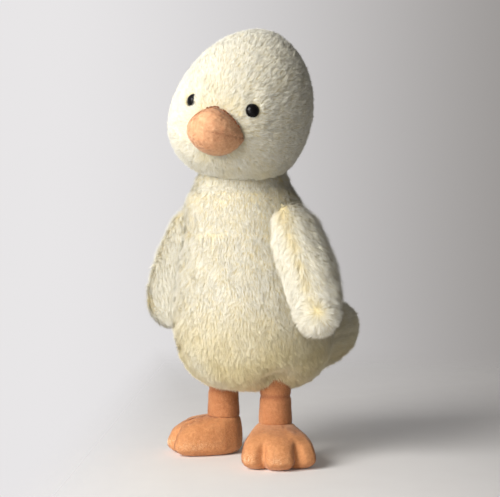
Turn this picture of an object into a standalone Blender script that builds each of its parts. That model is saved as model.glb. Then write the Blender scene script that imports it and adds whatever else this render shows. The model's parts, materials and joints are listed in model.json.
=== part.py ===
"""Plush duck: covers sewn from cloth panels, each over its own filling.

The head turns, tilts and nods on a ball in the neck, the wings lift away from the
flanks and the legs swing forward at the hips. +Z is up and the breast faces -Y, so
the duck's own left side is +X. The origin is on the floor, midway between the feet.
"""
from math import asin, cos, hypot, pi, radians, sin, sqrt

import bmesh
import bpy
from mathutils import Vector

# Clearances and cloth
GAP = 0.0003
FILL_GAP = 0.0006
PLUSH = 0.0030
VELOUR = 0.0022
MERGE = 0.000001
CREASE_ANGLE = radians(40)
# How full the domes of the beak and tail are: at their sides, at their corners, over the top
DOME_SHARE = 0.6
CORNER_SHARE = 0.7
FULLNESS_SHARE = 0.85

# Torso
TORSO_RADIUS = 0.0600
TORSO_BOTTOM = 0.0490
TORSO_TOP = 0.1920
BELLY_AXIS_Y = -0.0115
NECK_AXIS_Y = -0.0235
TORSO_DEPTH_SHARE = 0.96
FRONT_PANEL_ANGLE = radians(75)
BASE_SEAM_STATION = 2
POUCH_STATION = 4
CHEST_SEAM_STATION = 9
# The side line from the bottom up: radius, height, and how far it leans to the neck
TORSO_LINE_SHARES = (
    (0.0, 0.0, 0.0),
    (0.333, 0.002, 0.0),
    (0.614, 0.025, 0.0),
    (0.816, 0.084, 0.0),
    (0.947, 0.178, 0.0),
    (1.0, 0.294, 0.03),
    (0.982, 0.427, 0.15),
    (0.921, 0.559, 0.32),
    (0.833, 0.678, 0.52),
    (0.775, 0.790, 0.72),
    (0.730, 0.895, 0.90),
    (0.610, 1.0, 1.0),
)

# Neck
NECK_RADIUS = 0.0318
NECK_CLOTH = 0.0024
PIVOT_RISE = 0.0090
COLLAR_RISE = 0.0170
BALL_STEPS = 16
COLLAR_STEPS = 20

# Head, about its own centre
HEAD_HALF_WIDTH = 0.0496
HEAD_HALF_DEPTH = 0.0475
HEAD_CROWN = 0.0629
HEAD_JAW = 0.0465
HEAD_FORWARD = 0.0180
CROWN_FULLNESS_SHARE = 1.85
JAW_FULLNESS_SHARE = 2.5
HEAD_RISE = 0.0418
HEAD_YAW = radians(23)
HEAD_ROLL = radians(11)
# The stuffing pushes the jaw to the right and the crown to the left of an upright line
HEAD_LEAN_SHARE = 0.10
LEAN_LEVEL = 0.0220
JAW_LEVEL = -0.0180
SIDE_PANEL_ANGLE = radians(72)
GUSSET_START = radians(-15)
GUSSET_END = radians(225)
CHIN_START = radians(285)

# Eyes
EYE_ANGLE = radians(27.1)
FACE_TURN = radians(2.9)
EYE_RISE = 0.0037
EYE_RADIUS = 0.0049
EYE_DOME = 0.0042
EYE_SEAT = 0.0006
POST_RADIUS = 0.0020
POST_END = 0.0075
WASHER_RADIUS = 0.0070
WASHER_THICKNESS = 0.0012
WASHER_SEAT = 0.0014

# Beak
BEAK_HALF_WIDTH = 0.0200
BEAK_UP = 0.0170
BEAK_DOWN = 0.0150
BEAK_REACH = 0.0180
BEAK_DROP = 0.0150
BEAK_OUTLINE_SHARES = (1.5, 2.0)

# Tail
TAIL_HALF_WIDTH = 0.0285
TAIL_UP = 0.0285
TAIL_DOWN = 0.0300
TAIL_REACH = 0.0560
TAIL_HEIGHT = 0.0840
TAIL_LEAN_SHARE = 0.04
TAIL_OUTLINE_SHARES = (2.2, 2.2)

# Wings
WING_CHORD = 0.0375
WING_THICKNESS = 0.0310
WING_SEAT = 0.0008
WING_ROOT_STATION = 10.3
WING_TIP_STATION = 5.0
WING_ROOT_ANGLE = radians(88)
WING_TIP_ANGLE = radians(76)
# The left wing bends this much further back at its tip, and the right one further forward
WING_TIP_SWAY = radians(5.5)
# Down the wing from the shoulder: place, width and thickness
WING_LINE_SHARES = (
    (0.0, 0.0, 0.0),
    (0.03, 0.60, 0.26),
    (0.14, 0.84, 0.52),
    (0.34, 1.0, 0.74),
    (0.58, 0.93, 0.94),
    (0.77, 0.79, 1.0),
    (0.92, 0.55, 0.84),
    (0.983, 0.32, 0.48),
    (1.0, 0.0, 0.0),
)

# Legs and feet
LEG_X = 0.0260
LEG_Y = -0.0170
LEG_TOP_RADIUS = 0.0106
ANKLE_RADIUS = 0.0122
ANKLE_HEIGHT = 0.0275
SPLAY = radians(48)
TOE_REACH = 0.0425
FOOT_SEAM_HEIGHT = 0.0070
FOOT_MIDDLE = 0.0120
FOOT_HALF_SPAN = 0.0150
# Half of the foot's outline, from the middle toe to the heel: angle and reach
FOOT_PLAN_SHARES = (
    (0.0, 1.0),
    (0.055, 0.975),
    (0.105, 0.885),
    (0.155, 0.95),
    (0.21, 0.975),
    (0.27, 0.82),
    (0.37, 0.58),
    (0.53, 0.42),
    (0.75, 0.35),
    (1.0, 0.34),
)
# From the ankle out to the seam: way out and height above the seam
FOOT_TOP_SHARES = ((0.0, 1.0), (0.28, 0.90), (0.58, 0.76), (0.84, 0.50), (1.0, 0.0))
# From the seam in to the flat of the sole: way out and height under the seam
FOOT_SOLE_SHARES = ((1.0, 0.0), (0.95, 0.75), (0.86, 1.0))

COLOURS = {
    "plush": (0.83, 0.80, 0.62, 1.0),
    "plush_yoke": (0.80, 0.77, 0.60, 1.0),
    "velour": (0.85, 0.50, 0.31, 1.0),
    "filling": (0.90, 0.90, 0.88, 1.0),
    "pellets": (0.75, 0.74, 0.70, 1.0),
    "bead": (0.012, 0.012, 0.013, 1.0),
    "washer": (0.80, 0.80, 0.78, 1.0),
}
ROUGHNESS = {"bead": 0.08, "washer": 0.4, "pellets": 0.5}


def clear_scene():
    """Empty the scene of its objects."""
    for thing in list(bpy.data.objects):
        bpy.data.objects.remove(thing, do_unlink=True)


def make_material(finish, name):
    """A plain Principled material in the colour of the real cloth or plastic."""
    material = bpy.data.materials.new(name)
    material.use_nodes = True
    shader = material.node_tree.nodes["Principled BSDF"]
    shader.inputs["Base Color"].default_value = COLOURS[finish]
    shader.inputs["Roughness"].default_value = ROUGHNESS.get(finish, 0.9)
    shader.inputs["Metallic"].default_value = 0.0
    material.diffuse_color = COLOURS[finish]
    return material


def frame_at(name, location, rotation=(0.0, 0.0, 0.0), parent=None):
    """An empty that carries one body, on that body's joint."""
    empty = bpy.data.objects.new(name, None)
    bpy.context.scene.collection.objects.link(empty)
    empty.parent = parent
    empty.location = location
    empty.rotation_euler = rotation
    bpy.context.view_layer.update()
    return empty


def add_object(name, mesh, frame, finish):
    """Put a finished mesh in the scene under its frame."""
    bmesh.ops.remove_doubles(mesh, verts=mesh.verts[:], dist=MERGE)
    bmesh.ops.dissolve_degenerate(mesh, edges=mesh.edges[:], dist=MERGE)
    loose = [edge for edge in mesh.edges if edge.is_wire]
    bmesh.ops.delete(mesh, geom=loose, context="EDGES")
    bmesh.ops.recalc_face_normals(mesh, faces=mesh.faces[:])
    data = bpy.data.meshes.new(name)
    mesh.to_mesh(data)
    mesh.free()
    data.shade_smooth()
    data.set_sharp_from_angle(angle=CREASE_ANGLE)
    thing = bpy.data.objects.new(name, data)
    thing.parent = frame
    bpy.context.scene.collection.objects.link(thing)
    if finish:
        data.materials.append(make_material(finish, name + "_" + finish))
    return thing


def unit_grid(across, along, ring):
    """A flat grid one unit wide; a ring has its two side edges welded."""
    mesh = bmesh.new()
    bmesh.ops.create_grid(mesh, x_segments=across, y_segments=along, size=0.5)
    if ring:
        left = [v for v in mesh.verts if v.co.x < 0.25 / across - 0.5]
        right = [v for v in mesh.verts if v.co.x > 0.5 - 0.25 / across]
        rows = [sorted(side, key=lambda v: v.co.y) for side in (right, left)]
        bmesh.ops.weld_verts(mesh, targetmap=dict(zip(*rows)))
    return mesh


def lay(name, place, across, along, frame, finish, ring=False, sheet=True):
    """Lay a grid on a surface. A sheet is extruded by its cloth, from layer 0 to layer 1;
    without it the grid has to close on itself."""
    mesh = unit_grid(across, along, ring)
    if sheet:
        inner = bmesh.ops.extrude_face_region(mesh, geom=mesh.faces[:])["geom"]
        moved = [item for item in inner if isinstance(item, bmesh.types.BMVert)]
        bmesh.ops.translate(mesh, verts=moved, vec=(0.0, 0.0, 1.0))
    for vert in mesh.verts:
        vert.co = place(vert.co.x + 0.5, vert.co.y + 0.5, vert.co.z)
    return add_object(name, mesh, frame, finish)


def cut(thing, cutter):
    """Take a guide solid out of a piece."""
    boolean = thing.modifiers.new("cut_" + cutter.name, "BOOLEAN")
    boolean.operation = "DIFFERENCE"
    boolean.solver = "EXACT"
    boolean.object = cutter


def guide(thing):
    """Mark an object as a cutter, which is not a piece of the duck."""
    thing.hide_render = True
    thing.display_type = "WIRE"
    return thing


def mix(start, end, share):
    """The value a share of the way from start to end."""
    return start + (end - start) * share


def on_line(points, station):
    """A smooth curve through the points, read at a station counted in points."""
    last = len(points) - 1
    index = min(max(int(station), 0), last - 1)
    t = station - index
    rows = (points[max(index - 1, 0)], points[index], points[index + 1], points[min(index + 2, last)])
    return tuple(
        b + 0.5 * t * (c - a + t * (2 * a - 5 * b + 4 * c - d + t * (3 * (b - c) + d - a)))
        for a, b, c, d in zip(*rows)
    )


def clear_radius(radius, gap, steps):
    """The radius at which a faceted ball keeps its gap all round a ball inside it."""
    return (radius + gap) / cos(pi / steps) ** 2


# Torso


def torso_line(station):
    """Radius, height and axis of the torso at a station of its side line."""
    radius, height, lean = on_line(TORSO_LINE_SHARES, station)
    return (
        radius * TORSO_RADIUS,
        mix(TORSO_BOTTOM, TORSO_TOP, height),
        mix(BELLY_AXIS_Y, NECK_AXIS_Y, lean),
    )


def torso_slope(station):
    """How fast radius and height change with the station."""
    step = 0.01
    low = max(station - step, 0.0)
    high = min(station + step, len(TORSO_LINE_SHARES) - 1)
    start, end = torso_line(low), torso_line(high)
    return (end[0] - start[0]) / (high - low), (end[1] - start[1]) / (high - low)


def torso_point(angle, station, depth=0.0):
    """A point on the torso, the angle counted from the breast towards the left side."""
    radius, height, axis_y = torso_line(station)
    slope_radius, slope_height = torso_slope(station)
    length = hypot(slope_radius, slope_height)
    radius -= depth * slope_height / length
    height += depth * slope_radius / length
    return Vector((radius * sin(angle), axis_y - TORSO_DEPTH_SHARE * radius * cos(angle), height))


def half_gap(station):
    """Half a seam's gap, in stations."""
    return GAP / 2 / hypot(*torso_slope(station))


def find_station(line, wanted, column, low, high):
    """The station between low and high where a line's column has the wanted value."""
    for _ in range(40):
        middle = (low + high) / 2
        if line(middle)[column] < wanted:
            low = middle
        else:
            high = middle
    return low


def torso_panel(name, angles, stations, across, along, frame, finish="plush"):
    """A panel of the torso's cover, between two seams each way."""
    side = GAP / 2 / torso_line(stations[1])[0]
    start = mix(stations[0], stations[0] + half_gap(stations[0]), stations[0] > 0)
    end = stations[1] - half_gap(stations[1])
    ring = angles[1] - angles[0] >= 2 * pi
    low, high = (angles[0], angles[1]) if ring else (angles[0] + side, angles[1] - side)

    def place(x, y, layer):
        return torso_point(mix(low, high, x), mix(start, end, y), layer * PLUSH)

    return lay(name, place, across, along, frame, finish, ring=ring)


def torso_filling(name, stations, rows, frame, finish):
    """A filling that fits under the torso's cover between two stations."""
    depth = PLUSH + FILL_GAP
    start = stations[0] + half_gap(stations[0]) if stations[0] > 0 else 0.0
    end = stations[1] - half_gap(stations[1])

    def place(x, y, layer):
        row = round(y * (rows + 2))
        station = mix(start, end, min(max(row - 1, 0), rows) / rows)
        point = torso_point(2 * pi * x, station, depth)
        if row in (0, rows + 2) or station == 0:
            point.x, point.y = 0.0, torso_line(station)[2]
        return point

    return lay(name, place, 24, rows + 2, frame, finish, ring=True, sheet=False)


def make_torso(frame):
    """The cover's six panels, the filling and the pouch of pellets under it."""
    full = 2 * pi
    top = len(TORSO_LINE_SHARES) - 1
    base, chest = BASE_SEAM_STATION, CHEST_SEAM_STATION
    front = FRONT_PANEL_ANGLE
    torso_panel("body_base_panel", (0.0, full), (0, base), 24, 5, frame)
    torso_panel("body_front_panel", (-front, front), (base, chest), 10, 8, frame)
    torso_panel("body_left_panel", (front, pi), (base, chest), 7, 8, frame)
    torso_panel("body_right_panel", (pi, full - front), (base, chest), 7, 8, frame)
    torso_panel("yoke_front", (-pi / 2, pi / 2), (chest, top), 12, 3, frame, "plush_yoke")
    torso_panel("yoke_back", (pi / 2, 3 * pi / 2), (chest, top), 12, 3, frame, "plush_yoke")
    torso_filling("bean_pouch", (0, POUCH_STATION), 3, frame, "pellets")
    return torso_filling("body_stuffing", (POUCH_STATION, top), 6, frame, "filling")


# Neck


def ball_point(radius, turn, rise):
    """A point of a ball about the neck's pivot, rise counted from the bottom."""
    return Vector((radius * sin(rise) * cos(turn), radius * sin(rise) * sin(turn), -radius * cos(rise)))


def ball(name, radius, steps, frame, finish):
    """A whole ball about its frame."""

    def place(x, y, layer):
        return ball_point(radius, 2 * pi * x, pi * y)

    return lay(name, place, steps, steps // 2, frame, finish, ring=True, sheet=False)


def make_neck(turn_frame, tilt_frame, stuffing):
    """The collar band, and the ball of filling that the head moves on."""
    ball_radius = NECK_RADIUS - NECK_CLOTH - GAP
    bore = clear_radius(ball_radius, GAP, COLLAR_STEPS)
    low = pi / 2 + asin((GAP - PIVOT_RISE) / NECK_RADIUS)
    high = pi / 2 + asin(COLLAR_RISE / NECK_RADIUS)

    def place(x, y, layer):
        return ball_point(mix(NECK_RADIUS, bore, layer), 2 * pi * x, mix(low, high, y))

    lay("neck_collar", place, COLLAR_STEPS, 4, turn_frame, "plush_yoke", ring=True)
    ball("neck_stuffing", ball_radius, BALL_STEPS, tilt_frame, "filling")
    dish = ball("neck_dish_cutter", clear_radius(ball_radius, GAP, 24), 24, tilt_frame, None)
    cut(stuffing, guide(dish))


# Head


def head_half(height):
    """The height and fullness of the crown or of the jaw, whichever holds a height."""
    return (HEAD_CROWN, CROWN_FULLNESS_SHARE) if height > 0 else (HEAD_JAW, JAW_FULLNESS_SHARE)


def head_reach(direction):
    """How far the head's surface lies from its centre in a direction."""
    height, power = head_half(direction.z)
    level = hypot(direction.x / HEAD_HALF_WIDTH, direction.y / HEAD_HALF_DEPTH)
    return (level**power + abs(direction.z / height) ** power) ** (-1 / power)


def head_centre():
    """The head's centre in the frame of its nod."""
    return Vector((0.0, -HEAD_FORWARD, HEAD_RISE))


def head_sway(height):
    """How far the head is pushed to its left at a height over its centre."""
    return HEAD_LEAN_SHARE * (max(height, JAW_LEVEL) - LEAN_LEVEL)


def head_point(turn, side, depth=0.0):
    """A point on the head: turn runs from the face over the crown, side from the left."""
    direction = Vector((cos(side), -sin(side) * cos(turn), sin(side) * sin(turn)))
    point = direction * (head_reach(direction) - depth)
    point.x += head_sway(point.z)
    return head_centre() + point


def head_panel(name, turns, sides, across, along, frame):
    """A panel of the head's cover."""
    edge = GAP / 2 / HEAD_JAW
    ring = turns[1] - turns[0] >= 2 * pi
    turn_low, turn_high = (turns if ring else (turns[0] + edge, turns[1] - edge))
    side_low = sides[0] + (edge if sides[0] > 0 else 0.0)
    side_high = sides[1] - (edge if sides[1] < pi else 0.0)

    def place(x, y, layer):
        return head_point(mix(turn_low, turn_high, x), mix(side_low, side_high, y), layer * PLUSH)

    return lay(name, place, across, along, frame, "plush", ring=ring)


def eye_place(side):
    """Where an eye sits on the head, and the way it looks out."""
    turn = side * EYE_ANGLE + FACE_TURN
    across = Vector((sin(turn), -cos(turn), EYE_RISE / HEAD_HALF_DEPTH)).normalized()
    point = across * head_reach(across)
    normal = Vector(
        (point.x / HEAD_HALF_WIDTH**2, point.y / HEAD_HALF_DEPTH**2, point.z / HEAD_CROWN**2)
    )
    point.x += head_sway(point.z)
    return head_centre() + point, normal.normalized()


def turned(name, line, steps, frame, finish):
    """A solid turned about Z from a line of radius and height that starts and ends on Z."""

    def place(x, y, layer):
        radius, height = line[round(y * (len(line) - 1))]
        return Vector((radius * cos(2 * pi * x), radius * sin(2 * pi * x), height))

    return lay(name, place, steps, len(line) - 1, frame, finish, ring=True, sheet=False)


def stand_on(thing, point, normal):
    """Place a piece at a point with its own Z along the normal."""
    thing.location = point
    thing.rotation_mode = "QUATERNION"
    thing.rotation_quaternion = normal.to_track_quat("Z", "Y")


def make_eye(label, side, panel, stuffing, frame):
    """A domed bead on a post through the cover, with its lock washer behind the cloth."""
    point, normal = eye_place(side)
    dome = [(EYE_RADIUS * cos(t * pi / 8), EYE_SEAT + EYE_DOME * sin(t * pi / 8)) for t in (4, 3, 2, 1, 0)]
    post = [(POST_RADIUS, EYE_SEAT), (POST_RADIUS, -POST_END), (0.0, -POST_END)]
    bead = turned("eye_" + label, dome + post, 16, frame, "bead")
    stand_on(bead, point, normal)
    top = -PLUSH - WASHER_SEAT
    bottom = top - WASHER_THICKNESS
    bore = POST_RADIUS + GAP

    def place(x, y, layer):
        radius = mix(WASHER_RADIUS, bore, layer)
        return Vector((radius * cos(2 * pi * x), radius * sin(2 * pi * x), mix(bottom, top, y)))

    washer = lay("eye_washer_" + label, place, 16, 1, frame, "washer", ring=True)
    stand_on(washer, point, normal)
    hole_line = [(0.0, EYE_DOME), (bore, EYE_DOME), (bore, -POST_END), (0.0, -POST_END)]
    hole = turned("eye_hole_cutter_" + label, hole_line, 16, frame, None)
    stand_on(guide(hole), point, normal)
    cut(panel, hole)
    wide = WASHER_RADIUS + 2 * GAP
    floor = -POST_END - GAP
    pocket_line = [(0.0, 0.0), (wide, 0.0), (wide, floor), (0.0, floor)]
    pocket = turned("eye_pocket_cutter_" + label, pocket_line, 16, frame, None)
    stand_on(guide(pocket), point, normal)
    cut(stuffing, pocket)


def make_head(frame):
    """Four panels over the filling, opened below for the neck."""
    full = 2 * pi
    side = SIDE_PANEL_ANGLE
    left = head_panel("head_left_panel", (0.0, full), (0.0, side), 24, 6, frame)
    right = head_panel("head_right_panel", (0.0, full), (pi - side, pi), 24, 6, frame)
    band = (side, pi - side)
    crown = head_panel("head_crown_gusset", (GUSSET_START, GUSSET_END), band, 16, 3, frame)
    chin = head_panel("head_chin_panel", (CHIN_START, full + GUSSET_START), band, 4, 3, frame)

    def place(x, y, layer):
        return head_point(full * x, pi * y, PLUSH + FILL_GAP)

    stuffing = lay("head_stuffing", place, 24, 15, frame, "filling", ring=True, sheet=False)
    opening = ball("neck_opening_cutter", clear_radius(NECK_RADIUS, GAP, 32), 32, frame, None)
    guide(opening)
    for piece in (left, right, crown, chin, stuffing):
        cut(piece, opening)
    make_eye("left", 1, left, stuffing, frame)
    make_eye("right", -1, right, stuffing, frame)


# Beak and tail: domes laid on the surface behind them


def dome_point(across, turn, sizes, scale):
    """Across, rise and reach of a dome's point: turn runs from its lower edge, -1, to its
    upper edge, 1."""
    half_width, up, down, reach, up_share, down_share = sizes
    share = sin(across * pi / 2)
    height, power = (up, up_share) if turn > 0 else (down, down_share)
    rise = height * max(1 - abs(share) ** power, 0.0) ** CORNER_SHARE
    out = reach * max(1 - share * share, 0.0) ** DOME_SHARE
    up_turn = abs(sin(turn * pi / 2)) ** FULLNESS_SHARE
    out_turn = max(cos(turn * pi / 2), 0.0) ** FULLNESS_SHARE
    point = Vector((half_width * share, rise * (up_turn if turn > 0 else -up_turn), out * out_turn))
    return point * scale


def make_dome(name, sizes, on_surface, cloth, frame, finish):
    """Upper and lower panels over a filling, each resting on the surface behind them."""
    inner = 1 - cloth / sizes[2]
    fill = inner - FILL_GAP / sizes[2]

    def panel(label, low, high, shift):
        def place(x, y, layer):
            point = dome_point(mix(-1.0, 1.0, x), mix(low, high, y), sizes, mix(1.0, inner, layer))
            return on_surface(point.x, point.y + shift, point.z)

        lay(name + label, place, 10, 4, frame, finish)

    def filling(x, y, layer):
        point = dome_point(mix(-1.0, 1.0, x), mix(-1.0, 1.0, y), sizes, fill)
        return on_surface(point.x, point.y, point.z * (1 - layer))

    panel("_upper_panel", 0.0, 1.0, GAP / 2)
    panel("_lower_panel", -1.0, 0.0, -GAP / 2)
    lay(name + "_stuffing", filling, 10, 8, frame, "filling")


def on_face(across, rise, reach):
    """A point in front of the face, counted from the middle of the beak."""
    height = rise - BEAK_DROP
    half_height, power = head_half(height)
    level = (1 - abs(height / half_height) ** power) ** (1 / power)
    side_share = (across - head_sway(height)) / HEAD_HALF_WIDTH
    front = -HEAD_HALF_DEPTH * sqrt(level * level - side_share**2) - GAP - reach
    return head_centre() + Vector((across, front, height))


def on_back(across, rise, reach):
    """A point behind the torso, counted from the middle of the tail."""
    height = TAIL_HEIGHT + rise
    station = find_station(torso_line, height, 1, 1, CHEST_SEAM_STATION)
    radius, _, axis_y = torso_line(station)
    back = axis_y + TORSO_DEPTH_SHARE * sqrt(radius * radius - across * across) + 2 * GAP
    return Vector((across, back + reach, height + reach * TAIL_LEAN_SHARE))


# Wings


def wing_point(side, along, across, lift, scale=1.0):
    """A point over the flank: along runs from the shoulder to the tip, across from the
    front edge, -1, to the back edge, 1. The scale narrows the wing about its middle."""
    place, chord, _ = on_line(WING_LINE_SHARES, along * (len(WING_LINE_SHARES) - 1))
    place = 0.5 + (place - 0.5) * scale
    torso_station = mix(WING_ROOT_STATION, WING_TIP_STATION, place)
    offset = across * scale * chord * WING_CHORD / 2 / torso_line(torso_station)[0]
    angle = mix(WING_ROOT_ANGLE, WING_TIP_ANGLE, place) + side * WING_TIP_SWAY * place**3 + offset
    point = torso_point(angle, torso_station, -WING_SEAT - lift)
    point.x *= side
    return point


def wing_lift(along, turn, scale):
    """How far the wing's outer side stands over its inner panel."""
    thick = on_line(WING_LINE_SHARES, along * (len(WING_LINE_SHARES) - 1))[2]
    return PLUSH + 2 * GAP + (WING_THICKNESS - PLUSH) * thick * sin(turn) * scale


def make_wing(label, side, torso):
    """An outer panel domed over a filling, on an inner panel, hung at the shoulder."""
    root = torso_point(WING_ROOT_ANGLE, WING_ROOT_STATION, -WING_SEAT)
    root.x *= side
    frame = frame_at("wing_" + label + "_hinge", root, parent=torso)
    name = "wing_" + label
    cloth = 1 - PLUSH / (WING_CHORD / 2)
    fill = cloth - 2 * FILL_GAP / (WING_CHORD / 2)

    def outer(x, y, layer):
        scale = mix(1.0, cloth, layer)
        return wing_point(side, y, -cos(pi * x), wing_lift(y, pi * x, scale), scale) - root

    def inner(x, y, layer):
        return wing_point(side, y, -cos(pi * x), PLUSH * layer) - root

    def filling(x, y, layer):
        lift = wing_lift(y, pi * x * (1 - layer), fill) + FILL_GAP
        return wing_point(side, y, -cos(pi * x), lift, fill) - root

    lay(name + "_outer_panel", outer, 8, 8, frame, "plush")
    lay(name + "_inner_panel", inner, 8, 8, frame, "plush")
    lay(name + "_stuffing", filling, 8, 8, frame, "filling")


# Legs and feet


def under_torso(x, y):
    """The height of the torso's underside above a point of the floor."""
    radius = hypot(x, (y - BELLY_AXIS_Y) / TORSO_DEPTH_SHARE)
    station = find_station(torso_line, radius, 0, 0, POUCH_STATION)
    return torso_line(station)[1]


def foot_outline():
    """The foot's outline as angles and reaches all the way round, from the middle toe."""
    half = [(angle * pi, reach * TOE_REACH) for angle, reach in FOOT_PLAN_SHARES]
    return half + [(2 * pi - angle, reach) for angle, reach in reversed(half[1:-1])]


def foot_rows(top, sole):
    """Ways out and heights of a foot's rows, from the ankle over the toes and under. A way
    of -1 is the middle of the top or of the sole."""
    rows = []
    if top:
        rise = ANKLE_HEIGHT - FOOT_SEAM_HEIGHT - GAP / 2
        rows += [(-1.0, rise)] + [(way, rise * height) for way, height in FOOT_TOP_SHARES]
    if sole:
        drop = FOOT_SEAM_HEIGHT - GAP / 2
        rows += [(way, -drop * height) for way, height in FOOT_SOLE_SHARES] + [(-1.0, -drop)]
    return rows


def make_leg(label, side, torso):
    """A velour tube and a three-toed foot, with their fillings, hung at the hip."""
    forward = Vector((side * sin(SPLAY), -cos(SPLAY), 0.0))
    across = Vector((-forward.y, forward.x, 0.0))
    centre = Vector((side * LEG_X, LEG_Y, 0.0))
    crease = centre + forward * LEG_TOP_RADIUS
    crease.z = under_torso(crease.x, crease.y) - 2 * GAP
    frame = frame_at("hip_" + label, crease, parent=torso)
    outline = foot_outline()

    def tube_point(turn, share, inset, bottom):
        radius = mix(LEG_TOP_RADIUS, ANKLE_RADIUS, share) - inset
        spot = centre + (forward * cos(turn) + across * sin(turn)) * radius
        spot.z = mix(under_torso(spot.x, spot.y) - 2 * GAP, bottom, share)
        return spot - crease

    def tube(x, y, layer):
        return tube_point(2 * pi * x, y, layer * VELOUR, ANKLE_HEIGHT + GAP)

    def tube_filling(x, y, layer):
        row = round(y * 4)
        inset = (LEG_TOP_RADIUS, VELOUR + GAP, VELOUR + GAP, VELOUR + GAP, ANKLE_RADIUS)[row]
        return tube_point(2 * pi * x, (0.0, 0.0, 0.5, 1.0, 1.0)[row], inset, ANKLE_HEIGHT + GAP)

    def foot_point(rows, outer, inner):
        def place(x, y, layer):
            angle, reach = outline[round(x * len(outline)) % len(outline)]
            way, height = rows[round(y * (len(rows) - 1))]
            shrink = mix(outer, inner, layer)
            out = mix(ANKLE_RADIUS, reach, way) if way >= 0 else 0.0
            ahead = mix(FOOT_MIDDLE, out * cos(angle), shrink)
            spot = centre + forward * ahead + across * out * sin(angle) * shrink
            spot.z = FOOT_SEAM_HEIGHT + shift + height * shrink
            return spot - crease

        shift = GAP / 2 if rows[0][1] > 0 else -GAP / 2
        return place

    lay("leg_" + label + "_tube", tube, 16, 3, frame, "velour", ring=True)
    lay("leg_" + label + "_stuffing", tube_filling, 12, 4, frame, "filling", ring=True, sheet=False)
    cloth = 1 - VELOUR / FOOT_HALF_SPAN
    upper = foot_rows(True, False)
    sole = foot_rows(False, True)
    steps = len(outline)
    name = "foot_" + label
    lay(name + "_upper", foot_point(upper, 1.0, cloth), steps, len(upper) - 1, frame, "velour", ring=True)
    lay(name + "_sole", foot_point(sole, 1.0, cloth), steps, len(sole) - 1, frame, "velour", ring=True)
    fill = cloth - FILL_GAP / FOOT_HALF_SPAN
    whole = upper + sole[1:]
    place = foot_point(whole, fill, fill)
    lay(name + "_pellets", place, steps, len(whole) - 1, frame, "pellets", ring=True, sheet=False)


def main():
    """Model the whole duck."""
    clear_scene()
    torso = frame_at("torso_frame", (0.0, 0.0, 0.0))
    pivot = (0.0, NECK_AXIS_Y, TORSO_TOP + PIVOT_RISE)
    turn_frame = frame_at("neck_turn_frame", pivot, (0.0, 0.0, HEAD_YAW), torso)
    tilt_frame = frame_at("neck_tilt_frame", (0.0, 0.0, 0.0), (0.0, HEAD_ROLL, 0.0), turn_frame)
    nod_frame = frame_at("head_nod_frame", (0.0, 0.0, 0.0), parent=tilt_frame)
    stuffing = make_torso(torso)
    make_neck(turn_frame, tilt_frame, stuffing)
    make_head(nod_frame)
    beak_sizes = (BEAK_HALF_WIDTH, BEAK_UP, BEAK_DOWN, BEAK_REACH, *BEAK_OUTLINE_SHARES)
    make_dome("beak", beak_sizes, on_face, VELOUR, nod_frame, "velour")
    tail_sizes = (TAIL_HALF_WIDTH, TAIL_UP, TAIL_DOWN, TAIL_REACH, *TAIL_OUTLINE_SHARES)
    make_dome("tail", tail_sizes, on_back, PLUSH, torso, "plush")
    for label, side in (("left", 1), ("right", -1)):
        make_wing(label, side, torso)
        make_leg(label, side, torso)


main()
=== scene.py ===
# %% [markdown]
# # A plush duck, dressed over its cut and sewn parts
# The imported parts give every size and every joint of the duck. This script adds what
# the hand and the eye meet: covers without facets, pile that is grown fibre by fibre,
# a velour beak, glossy eyes, soft feet, and a plain pale table in soft light. Lengths
# are in metres, the breast faces -Y, and +X is the duck's own left.

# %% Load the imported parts
from math import cos, pi, radians, sin

import bmesh
import bpy
import numpy as np
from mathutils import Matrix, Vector
from mathutils.bvhtree import BVHTree
from mathutils.kdtree import KDTree
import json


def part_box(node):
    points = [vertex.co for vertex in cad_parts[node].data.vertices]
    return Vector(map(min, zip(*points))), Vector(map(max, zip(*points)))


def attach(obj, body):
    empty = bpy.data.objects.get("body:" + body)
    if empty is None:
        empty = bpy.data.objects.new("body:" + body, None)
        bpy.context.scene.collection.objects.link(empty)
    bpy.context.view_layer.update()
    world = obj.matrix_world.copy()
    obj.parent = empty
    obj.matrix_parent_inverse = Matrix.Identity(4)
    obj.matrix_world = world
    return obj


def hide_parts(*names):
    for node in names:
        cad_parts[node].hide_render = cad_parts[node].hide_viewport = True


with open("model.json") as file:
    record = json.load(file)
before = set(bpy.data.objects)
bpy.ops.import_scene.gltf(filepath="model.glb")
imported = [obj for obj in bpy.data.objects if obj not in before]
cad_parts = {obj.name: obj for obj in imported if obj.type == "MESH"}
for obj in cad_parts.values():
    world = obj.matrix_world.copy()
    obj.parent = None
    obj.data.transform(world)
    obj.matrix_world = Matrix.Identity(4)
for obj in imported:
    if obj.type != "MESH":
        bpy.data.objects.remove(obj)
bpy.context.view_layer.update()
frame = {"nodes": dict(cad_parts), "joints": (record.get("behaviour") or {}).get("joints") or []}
nodes = frame["nodes"]

# %% [markdown]
# ## Small tools for the shaders
# A shader tree is easier to read as sums than as boxes and wires. `Signal` stands for
# one output of a node, and the usual signs between two signals add a Math node. Every
# other node comes from `Tree.node`, which takes the type of node, its settings and the
# values of its sockets. A `Finish` is the tree of one material.

# %% Signals and finishes
class Signal:
    """An output of a node that can be used in sums."""

    def __init__(self, tree, socket):
        self.tree, self.socket = tree, socket

    def __add__(self, other):
        return self.tree.math("ADD", self, other)

    def __sub__(self, other):
        return self.tree.math("SUBTRACT", self, other)

    def __rsub__(self, other):
        return self.tree.math("SUBTRACT", other, self)

    def __mul__(self, other):
        return self.tree.math("MULTIPLY", self, other)

    __radd__, __rmul__ = __add__, __mul__


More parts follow.
